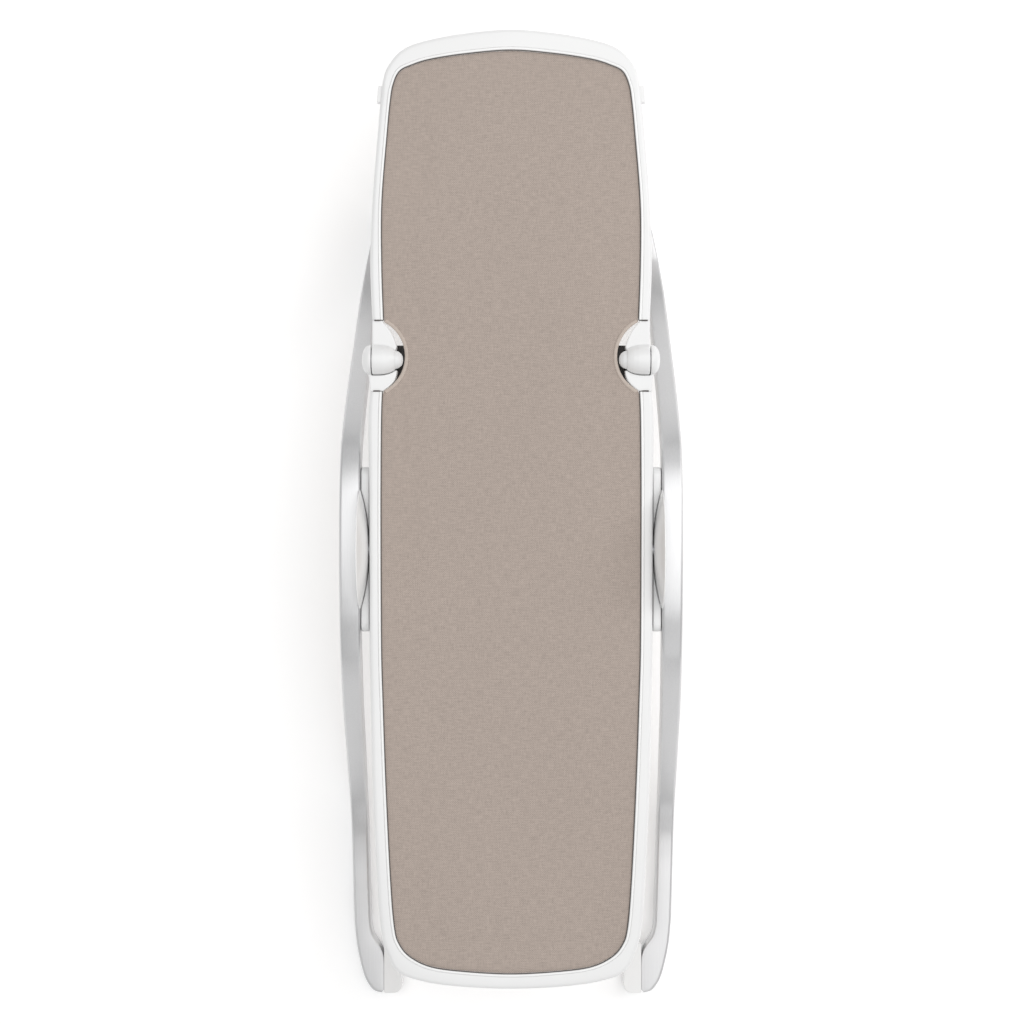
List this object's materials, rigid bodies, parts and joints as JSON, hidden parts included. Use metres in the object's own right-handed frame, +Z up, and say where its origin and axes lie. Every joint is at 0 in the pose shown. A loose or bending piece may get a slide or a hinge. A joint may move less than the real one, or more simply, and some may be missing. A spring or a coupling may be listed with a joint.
{
  "type": "baby swing",
  "caption": "Baby swing with a taupe mesh seat in a folding white rail, hung on side hubs in a bent aluminium tube base.",
  "frame": {"origin": "centre of the bounding box on the floor", "axes": "+Z up, +Y to the leg end of the seat, +X to the right side seen from above with the leg end up"},
  "size_m": [0.3528, 1.0083, 0.2945],
  "materials": {
    "tube": "satin anodised",
    "shell": "white semi-gloss moulding",
    "lip": "bright white moulding",
    "button": "fine grained white moulding",
    "sole": "matt",
    "guard": "matt black",
    "steel": "zinc plated",
    "bronze": "sintered",
    "spring": "oiled wire",
    "mesh": "fine open weave, taupe",
    "foam": "thin foam pad in light cloth"
  },
  "bodies": {
    "base": {"right_arch": "tube", "left_arch": "tube", "front_hoop": "tube", "hoop_sleeves": "shell", "sleeve_screws": "steel", "right_toe_shoe": "tube", "left_toe_shoe": "tube", "right_toe_foot": "shell", "left_toe_foot": "shell", "right_toe_sole": "sole", "left_toe_sole": "sole", "right_run_sole": "sole", "left_run_sole": "sole", "hoop_soles": "sole", "right_hub_dome": "shell", "left_hub_dome": "shell", "right_hub_axle": "steel", "left_hub_axle": "steel", "axle_clips": "steel"},
    "back": {"right_hub_housing": "shell", "left_hub_housing": "shell", "hub_bushes": "bronze", "right_return_springs": "spring", "left_return_springs": "spring", "housing_screws": "steel", "back_rail": "shell", "back_lip": "lip", "back_mesh": "mesh", "lumbar_pad": "foam", "head_pad": "foam", "right_lower_ear": "shell", "left_lower_ear": "shell", "hinge_pins": "steel", "hinge_washers": "steel", "finger_guards": "guard"},
    "seat": {"seat_rail": "shell", "seat_lip": "lip", "seat_mesh": "mesh", "thigh_pad": "foam", "leg_pad": "foam", "right_hinge_barrel": "shell", "left_hinge_barrel": "shell", "right_button_spring": "spring", "left_button_spring": "spring", "side_catches": "shell", "ear_screws": "steel"},
    "right_button": {"right_button": "button"},
    "left_button": {"left_button": "button"}
  },
  "joints": [
    {"name": "swing", "type": "hinge", "parent": "base", "child": "back", "pos_m": [0, -0.016, 0.234], "axis": [1, 0, 0], "range_deg": [-18, 18], "stiffness_Nm_per_rad": 25, "springref_deg": 1.72},
    {"name": "fold", "type": "hinge", "parent": "back", "child": "seat", "pos_m": [0, 0.174, 0.247], "axis": [1, 0, 0], "range_deg": [0, 55]},
    {"name": "right_release", "type": "slide", "parent": "seat", "child": "right_button", "axis": [1, 0, 0], "range_m": [0, 0.004], "stiffness_N_per_m": 400},
    {"name": "left_release", "type": "slide", "parent": "seat", "child": "left_button", "axis": [-1, 0, 0], "range_m": [0, 0.004], "stiffness_N_per_m": 400}
  ]
}
